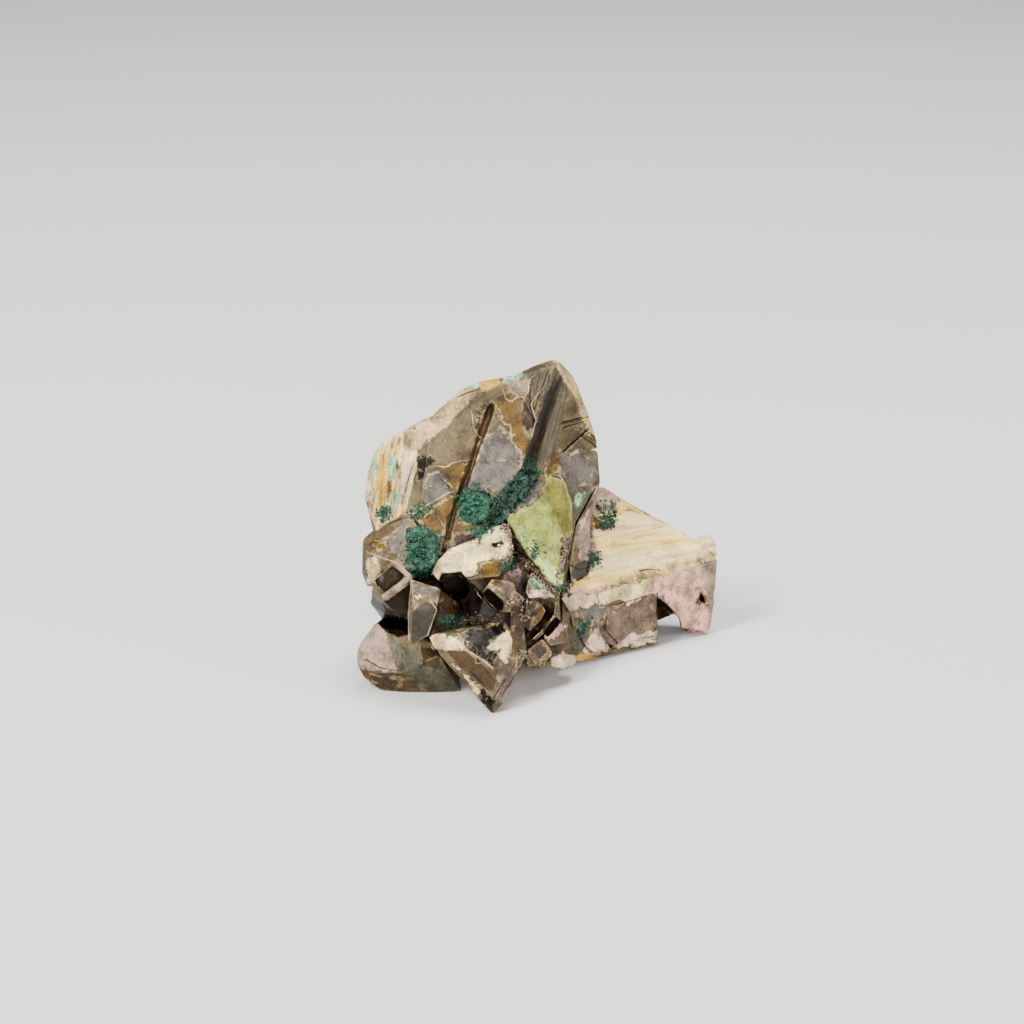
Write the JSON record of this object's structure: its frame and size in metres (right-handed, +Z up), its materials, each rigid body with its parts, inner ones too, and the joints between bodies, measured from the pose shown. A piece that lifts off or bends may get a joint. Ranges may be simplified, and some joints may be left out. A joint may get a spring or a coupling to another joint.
{
  "type": "kesterite crystal group",
  "caption": "Rough group of intergrown metallic kesterite crystals with green secondary crusts, a leaning upright crystal and a long striated arm; rests on a shelf for display.",
  "frame": {"origin": "middle of the box round the specimen, at the surface it rests on", "axes": "+Z up; -Y towards the viewer, out of the broad front; +X towards the end of the long arm"},
  "size_m": [0.0302, 0.0228, 0.0255],
  "materials": {
    "kesterite": "dull metallic crystal faces under a mottled cream, ochre and yellow-green coating",
    "green_crust": "rough and granular"
  },
  "bodies": {
    "root": {"kesterite_crystals": "kesterite", "green_crust_groove": "green_crust", "green_crust_panel": "green_crust", "green_crust_ledge": "green_crust"}
  },
  "joints": []
}
